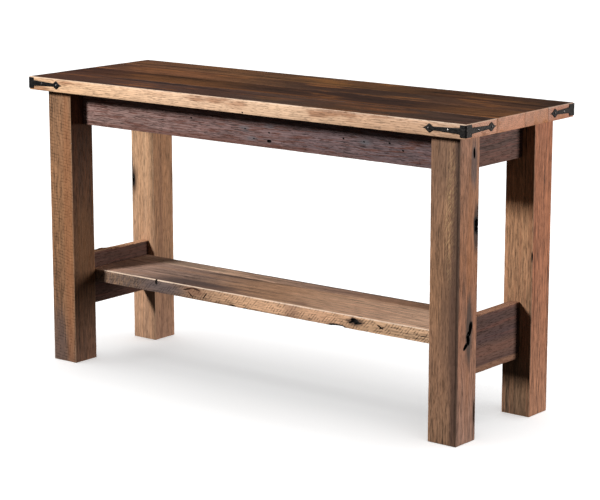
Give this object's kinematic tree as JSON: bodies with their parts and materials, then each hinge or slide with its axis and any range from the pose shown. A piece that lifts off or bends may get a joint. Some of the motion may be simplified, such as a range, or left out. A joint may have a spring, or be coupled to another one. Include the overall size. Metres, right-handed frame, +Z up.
{
  "type": "console table",
  "caption": "Long narrow console table of old barn timber: plank top with black forged corner irons, square legs, aprons, end stretchers and a narrow low shelf.",
  "frame": {"origin": "on the floor, under the middle of the top", "axes": "+X along the table to its right-hand end as seen from the front, -Y towards the front, +Z up"},
  "size_m": [1.3796, 0.4652, 0.762],
  "materials": {
    "top_timber": "waxed, dark brown weathered old boards with orange-brown streaks and pale fresh-cut edges",
    "leg_timber": "waxed, rough-sawn mid-brown with cracks and knots",
    "apron_timber": "weathered purple-grey-brown with wavy grain and old nail holes",
    "stretcher_timber": "dark reddish-brown weathered face, paler edges",
    "light_shelf_timber": "pale tan, sawn, worn whitish arris",
    "dark_shelf_timber": "grey-brown weathered",
    "inner_timber": "plain planed softwood",
    "forged_iron": "black waxed hand-forged iron",
    "nail_iron": "black forged nail, faceted head",
    "screw_steel": "zinc-plated"
  },
  "bodies": {
    "root": {"apron_front": "apron_timber", "apron_left": "apron_timber", "apron_rear": "apron_timber", "apron_right": "apron_timber", "batten_left": "inner_timber", "batten_right": "inner_timber", "cleat_left": "inner_timber", "cleat_right": "inner_timber", "iron_front_left": "forged_iron", "iron_front_right": "forged_iron", "iron_rear_left": "forged_iron", "iron_rear_right": "forged_iron", "leg_front_left": "leg_timber", "leg_front_right": "leg_timber", "leg_rear_left": "leg_timber", "leg_rear_right": "leg_timber", "nail_front_left_end_near": "nail_iron", "nail_front_left_end_spade": "nail_iron", "nail_front_left_long_near": "nail_iron", "nail_front_left_long_spade": "nail_iron", "nail_front_right_end_near": "nail_iron", "nail_front_right_end_spade": "nail_iron", "nail_front_right_long_near": "nail_iron", "nail_front_right_long_spade": "nail_iron", "nail_rear_left_end_near": "nail_iron", "nail_rear_left_end_spade": "nail_iron", "nail_rear_left_long_near": "nail_iron", "nail_rear_left_long_spade": "nail_iron", "nail_rear_right_end_near": "nail_iron", "nail_rear_right_end_spade": "nail_iron", "nail_rear_right_long_near": "nail_iron", "nail_rear_right_long_spade": "nail_iron", "screw_batten_left_front": "screw_steel", "screw_batten_left_rear": "screw_steel", "screw_batten_left_second": "screw_steel", "screw_batten_left_third": "screw_steel", "screw_batten_right_front": "screw_steel", "screw_batten_right_rear": "screw_steel", "screw_batten_right_second": "screw_steel", "screw_batten_right_third": "screw_steel", "screw_cleat_left_second": "screw_steel", "screw_cleat_left_third": "screw_steel", "screw_cleat_right_second": "screw_steel", "screw_cleat_right_third": "screw_steel", "shelf_board_front": "light_shelf_timber", "shelf_board_rear": "dark_shelf_timber", "stretcher_left": "stretcher_timber", "stretcher_right": "stretcher_timber", "top_board_front": "top_timber", "top_board_rear": "top_timber", "top_board_second": "top_timber", "top_board_third": "top_timber"}
  },
  "joints": []
}
